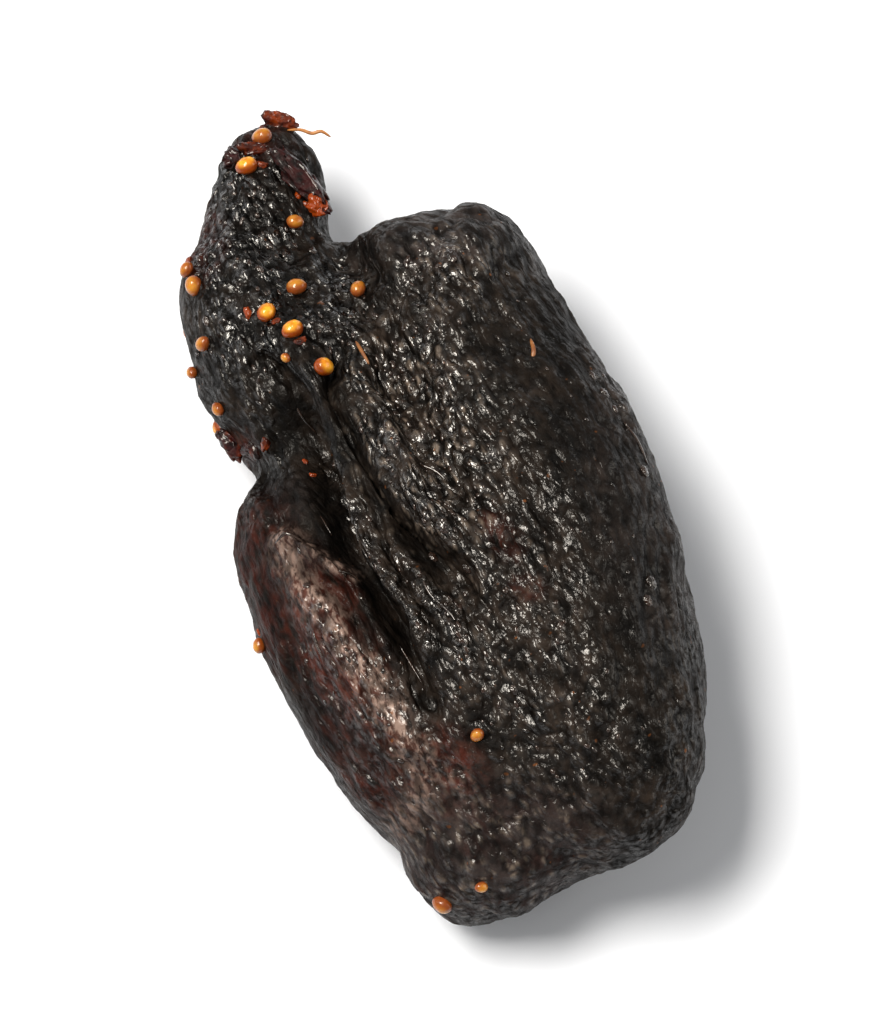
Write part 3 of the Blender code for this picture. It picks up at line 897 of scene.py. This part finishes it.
def seed_material():
    nodes = Nodes("seed")
    place = nodes.object_place()
    gold = nodes.mix(nodes.spread(nodes.noise(place, 0.5), MIDDLE_RANGE), SEED_AMBER, SEED_GOLD)
    # Painted shade: the seed is darker towards its base.
    gold = nodes.mix(nodes.spread(nodes.painted("high"), SEED_SHADE_RANGE), SEED_BASE_SHADE, gold)
    nodes.shade("Base Color", nodes.mix(nodes.painted("tint"), gold, SEED_DULL))
    nodes.shade("Roughness", 0.35)
    nodes.shade("Specular IOR Level", 0.15)
    nodes.shade("Normal", nodes.bump(nodes.noise(place, 0.15, 2.0), 0.02))
    nodes.shade("Coat Weight", 0.7)
    nodes.shade("Coat Roughness", 0.1)
    nodes.shade("Subsurface Weight", 0.15)
    nodes.shade("Subsurface Scale", 0.5 * MM)
    return nodes.material


def torn_material():
    nodes = Nodes("torn_flesh")
    place = nodes.object_place()
    flesh = nodes.mix(nodes.spread(nodes.noise(place, 0.5, 4.0), TORN_RANGE), FLESH_DARK, FLESH_RED)
    glow = nodes.math("ADD", nodes.painted("tint"), nodes.noise(place, 0.7, 2.0))
    nodes.shade("Base Color", nodes.mix(nodes.spread(glow, GLOW_RANGE), flesh, FLESH_GLOW))
    nodes.shade("Roughness", 0.35)
    nodes.shade("Specular IOR Level", 0.1)
    nodes.shade("Normal", nodes.bump(nodes.noise(place, 0.22), 0.12))
    nodes.shade("Coat Weight", 0.55)
    nodes.shade("Coat Roughness", 0.12)
    return nodes.material


def syrup_material():
    nodes = Nodes("syrup")
    place = nodes.object_place()
    juice = nodes.mix(nodes.spread(nodes.noise(place, 0.8), MIDDLE_RANGE), JUICE_DARK, JUICE_BROWN)
    nodes.shade("Base Color", juice)
    nodes.shade("Roughness", 0.2)
    nodes.shade("Normal", nodes.bump(nodes.noise(place, 0.14, 2.0), 0.02))
    nodes.shade("Coat Weight", 0.7)
    nodes.shade("Coat Roughness", 0.08)
    return nodes.material


def fibre_material():
    nodes = Nodes("fibre")
    mottle = nodes.noise(nodes.object_place(), 0.4, 2.0)
    straw = nodes.mix(nodes.spread(mottle, MIDDLE_RANGE), STRAW_BROWN, STRAW_PALE)
    nodes.shade("Base Color", nodes.mix(nodes.painted("tint"), straw, STRAW_DULL))
    nodes.shade("Roughness", 0.4)
    return nodes.material


def floor_material():
    nodes = Nodes("floor")
    tone = nodes.noise(nodes.object_place(), FLOOR_TONE_SIZE, 2.0)
    nodes.shade("Base Color", nodes.mix(tone, FLOOR_DARK, FLOOR_LIGHT))
    nodes.shade("Roughness", 0.75)
    return nodes.material


def add_piece(name, mesh, material):
    """A piece that stands for the fig's solid."""
    mesh.materials.clear()
    mesh.materials.append(material)
    made = add_object(name, mesh)
    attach(made, "root")
    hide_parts("fig")


def seated(point, normal, ahead):
    """A frame at the point, with its Z along the normal and its Y as near as it can be to ahead."""
    up = normal.normalized()
    across = ahead.cross(up).normalized()
    along = up.cross(across)
    turn = Matrix((across, along, up)).transposed().to_4x4()
    return Matrix.Translation(point) @ turn


def headed(degrees):
    """The direction in the view at this many degrees from up towards the left."""
    angle = math.radians(degrees)
    return VIEW_UP * math.cos(angle) - VIEW_RIGHT * math.sin(angle)


def seen_hit(tree, right, up):
    """The skin point, with its normal, that shows at this place in the view. Beside the fig there is none."""
    point, normal, _, _ = tree.ray_cast(view_point(right, up) + VIEW_BACK * REACH, -VIEW_BACK)
    return point, normal


def seen_spot(tree, right, up):
    """As seen_hit, but beside the fig it is the nearest skin point."""
    point, normal = seen_hit(tree, right, up)
    if point is None:
        point, normal, _, _ = tree.find_nearest(view_point(right, up))
    return point, normal


def new_lumps():
    """An empty mesh whose points hold a tint and how high on their lump they are."""
    bm = bmesh.new()
    bm.verts.layers.float.new("tint")
    bm.verts.layers.float.new("high")
    return bm


def finish_lumps(bm, name, material):
    mesh = bpy.data.meshes.new(name)
    bm.to_mesh(mesh)
    bm.free()
    mesh.shade_smooth()
    add_piece(name, mesh, material)


def add_lump(bm, place, half, shape, detail, tint=0.0):
    """A ball whose points are moved by the shape, then stretched to its half sizes (mm) and put in place."""
    made = bmesh.ops.create_icosphere(bm, subdivisions=detail, radius=1.0)
    tint_layer = bm.verts.layers.float["tint"]
    high_layer = bm.verts.layers.float["high"]
    for vert in made["verts"]:
        vert[tint_layer] = tint
        vert[high_layer] = 0.5 + 0.5 * vert.co.z
        vert.co = shape(vert.co)
    matrix = place @ Matrix.Diagonal((*(Vector(half) * MM), 1.0))
    bmesh.ops.transform(bm, matrix=matrix, verts=made["verts"])


def seed_shape(place):
    """A drop, drawn out to a blunt point at one end, with a faint dimpled skin."""
    drawn = place + Vector((0.0, SEED_TIP * max(0.0, place.y) ** 2, 0.0))
    return drawn * (1 + SEED_DIMPLE * noise.noise(place * SEED_DIMPLE_RATE))


def hidden_seed_spots(tree, draw):
    """Places for seeds on the hidden side of the neck."""
    spots = []
    for _ in range(HIDDEN_SEEDS):
        along = draw.uniform(*HIDDEN_SEED_SPAN)
        turn = math.radians(draw.uniform(*HIDDEN_SEED_TURN))
        outward = Vector((math.sin(turn), 0.0, math.cos(turn)))
        start = Vector((NECK_SIDE, along, NECK_HEIGHT)) * MM + outward * REACH
        point, normal, _, _ = tree.ray_cast(start, -outward)
        spots.append((point, normal, SEED_RADIUS))
    return spots


def build_seeds(tree):
    draw = np.random.default_rng(SCATTER_SEED)
    spots = [(*seen_spot(tree, right, up), radius) for right, up, radius in SEEN_SEEDS]
    spots += hidden_seed_spots(tree, draw)
    bm = new_lumps()
    for point, normal, radius in spots:
        turn = draw.uniform(0, 2 * math.pi)
        ahead = VIEW_RIGHT * math.cos(turn) + VIEW_UP * math.sin(turn)
        place = seated(point + normal * SEED_LIFT * MM, normal, ahead)
        dull = 0.0 if radius > SMALL_SEED else SMALL_SEED_DULLNESS
        add_lump(bm, place, Vector(SEED_FORM) * radius, seed_shape, LUMP_DETAIL, dull)
    finish_lumps(bm, "seeds", seed_material())


def flap_shape(place):
    """A ragged scrap whose ends curl up."""
    ragged = place + noise.noise_vector(place * FLAP_RAGGEDNESS) * FLAP_TEAR
    ragged += noise.noise_vector(place * FRAY_RATE) * FRAY
    return ragged + Vector((0.0, 0.0, FLAP_CURL * place.y**2))


def build_torn_scraps(tree):
    bm = new_lumps()
    for _, (right, up), half, heading, lift, glow in FLAPS:
        point, normal = seen_spot(tree, right, up)
        place = seated(point + normal * lift * MM, normal, headed(heading))
        add_lump(bm, place, half, flap_shape, LUMP_DETAIL, glow)
    for i, (right, up, size, glow) in enumerate(SCRAPS):
        place = seated(*seen_spot(tree, right, up), headed(SCRAP_TURN * i))
        half = [share * size for share in SCRAP_FORM]
        add_lump(bm, place, half, flap_shape, SCRAP_DETAIL, glow)
    finish_lumps(bm, "torn_scraps", torn_material())


def strand_path(tree, line):
    """The places of a strand over the skin. It keeps its depth where the skin falls away under it."""
    path = []
    depth = None
    for right, up, lift in line:
        point, _ = seen_hit(tree, right, up)
        if point is not None:
            here = (point - VIEW_CENTRE).dot(VIEW_BACK)
            if depth is None or abs(here - depth) < STRAND_STEP:
                depth = here
        path.append(view_point(right, up) + VIEW_BACK * (depth + lift * MM))
    return path


def bent_between(four, share):
    """The place between the two middle ones of four on a smooth curve through all of them."""
    before, start, stop, after = four
    return 0.5 * (
        2 * start
        + (stop - before) * share
        + (2 * before - 5 * start + 4 * stop - after) * share**2
        + (3 * start - before - 3 * stop + after) * share**3
    )


def smooth_path(path):
    """More places along the path, on a smooth curve through it."""
    ends = [path[0] * 2 - path[1], *path, path[-1] * 2 - path[-2]]
    places = []
    for i in range(len(path) - 1):
        for k in range(STRAND_CUTS):
            places.append(bent_between(ends[i : i + 4], k / STRAND_CUTS))
    places.append(path[-1])
    return places


def add_strand(bm, path, half_width, half_thickness, tint=0.0):
    """A closed tube along the path, flat toward the view and thin at both ends."""
    layer = bm.verts.layers.float["tint"]
    rings = []
    for i, place in enumerate(path):
        ahead = (path[min(i + 1, len(path) - 1)] - path[max(i - 1, 0)]).normalized()
        side = ahead.cross(VIEW_BACK).normalized()
        top = side.cross(ahead)
        thin = STRAND_TIP + (1 - STRAND_TIP) * math.sqrt(math.sin(math.pi * i / (len(path) - 1)))
        ring = []
        for k in range(STRAND_SIDES):
            angle = 2 * math.pi * k / STRAND_SIDES
            across = side * math.cos(angle) * half_width + top * math.sin(angle) * half_thickness
            vert = bm.verts.new(place + across * thin * MM)
            vert[layer] = tint
            ring.append(vert)
        rings.append(ring)
    for i in range(len(rings) - 1):
        for k in range(STRAND_SIDES):
            m = (k + 1) % STRAND_SIDES
            bm.faces.new((rings[i][k], rings[i][m], rings[i + 1][m], rings[i + 1][k]))
    bm.faces.new(rings[0][::-1])
    bm.faces.new(rings[-1])


def build_fibres(tree):
    bm = new_lumps()
    for line, half_width, half_thickness, dull in FIBRES:
        add_strand(bm, smooth_path(strand_path(tree, line)), half_width, half_thickness, dull)
    bmesh.ops.recalc_face_normals(bm, faces=bm.faces[:])
    finish_lumps(bm, "fibres", fibre_material())


def big_drop_shape(place):
    """Several drops run together."""
    return place * (1 + BIG_DROP_SWELL * noise.noise(place * BIG_DROP_RATE))


def drop_shape(place):
    return place * (1 + DROP_SWELL * noise.noise(place * DROP_RATE))


def add_small_drops(bm, tree, grain):
    """Small drops scattered over the grainy skin, stretched along the grain."""
    draw = np.random.default_rng(DROP_SEED)
    for _ in range(DROP_TRIES):
        spot = np.array([[draw.uniform(*DROP_SPAN_RIGHT), draw.uniform(*DROP_SPAN_UP)]])
        size = draw.uniform(*DROP_SIZE)
        stretch = draw.uniform(*DROP_STRETCH)
        turn = draw.normal(0.0, DROP_TURN)
        if draw.uniform() > graininess(spot)[0] ** 2:
            continue
        point, normal = seen_hit(tree, *spot[0])
        if point is None or normal.dot(VIEW_BACK) < DROP_FACING:
            continue
        place = seated(point, normal, Matrix.Rotation(turn, 3, normal) @ grain)
        add_lump(bm, place, (size, size * stretch, size * DROP_FLATNESS), drop_shape, DROP_DETAIL)


def build_syrup(tree):
    """Dark sticky drops and threads of dried juice, which catch the light."""
    bm = new_lumps()
    grain = Vector((-math.sin(GRAIN_HEADING), math.cos(GRAIN_HEADING), 0.0))
    add_small_drops(bm, tree, grain)
    for right, up, size in BIG_DROPS:
        place = seated(*seen_spot(tree, right, up), grain)
        half = [share * size for share in BIG_DROP_FORM]
        add_lump(bm, place, half, big_drop_shape, LUMP_DETAIL)
    for line, half_width in THREADS:
        lifted = [(right, up, THREAD_LIFT) for right, up in line]
        add_strand(bm, smooth_path(strand_path(tree, lifted)), half_width, half_width * THREAD_FLATNESS)
    bmesh.ops.recalc_face_normals(bm, faces=bm.faces[:])
    finish_lumps(bm, "syrup", syrup_material())


def build_fig():
    mesh = build_skin()
    tree = BVHTree.FromPolygons([v.co for v in mesh.vertices], [p.vertices for p in mesh.polygons])
    add_piece("skin", mesh, skin_material())
    build_seeds(tree)
    build_torn_scraps(tree)
    build_fibres(tree)
    build_syrup(tree)


def build_floor():
    bm = bmesh.new()
    bmesh.ops.create_grid(bm, x_segments=1, y_segments=1, size=FLOOR_SIZE)
    mesh = bpy.data.meshes.new("floor")
    bm.to_mesh(mesh)
    bm.free()
    mesh.materials.append(floor_material())
    floor = add_object("floor", mesh)
    floor.location.z = -FLOOR_DROP


def add_softbox(name, direction, distance, size, watts):
    """A flat lamp that shines on the fig from the given direction of the view."""
    lamp = bpy.data.lights.new(name, "AREA")
    lamp.shape = "RECTANGLE"
    lamp.size, lamp.size_y = size
    lamp.energy = watts
    lamp.color = LAMP_COLOUR
    right, up, back = direction
    away = (VIEW_RIGHT * right + VIEW_UP * up + VIEW_BACK * back).normalized()
    made = add_object(name, lamp)
    made.location = VIEW_CENTRE + away * distance
    made.rotation_mode = "QUATERNION"
    made.rotation_quaternion = away.to_track_quat("Z", "Y")


def build_studio():
    """The lamps and a soft even light from all round."""
    for lamp in LAMPS:
        add_softbox(*lamp)
    world = bpy.data.worlds.new("studio")
    world.use_nodes = True
    background = world.node_tree.nodes["Background"]
    background.inputs["Color"].default_value = (*STUDIO_COLOUR, 1.0)
    background.inputs["Strength"].default_value = STUDIO_STRENGTH
    bpy.context.scene.world = world
    bpy.context.scene.view_settings.view_transform = "Standard"


def build_camera():
    lens = bpy.data.cameras.new("camera")
    lens.sensor_width = SENSOR
    lens.lens = SENSOR * CAMERA_DISTANCE / MM * PIXELS_PER_MM / PICTURE_HEIGHT
    lens.clip_start = CLIP_START
    camera = add_object("camera", lens)
    camera.location = VIEW_CENTRE + VIEW_BACK * CAMERA_DISTANCE
    camera.rotation_mode = "QUATERNION"
    turn = Matrix((VIEW_RIGHT, VIEW_UP, VIEW_BACK)).transposed()
    camera.rotation_quaternion = turn.to_quaternion()
    bpy.context.scene.camera = camera


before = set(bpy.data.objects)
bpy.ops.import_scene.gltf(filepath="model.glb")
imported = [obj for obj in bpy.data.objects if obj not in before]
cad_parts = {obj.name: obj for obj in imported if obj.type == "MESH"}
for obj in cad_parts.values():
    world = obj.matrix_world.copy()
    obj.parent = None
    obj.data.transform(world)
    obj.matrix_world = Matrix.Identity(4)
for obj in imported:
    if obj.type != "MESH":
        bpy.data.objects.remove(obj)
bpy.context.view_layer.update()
noise.seed_set(NOISE_SEED)
build_fig()
build_floor()
build_studio()
build_camera()
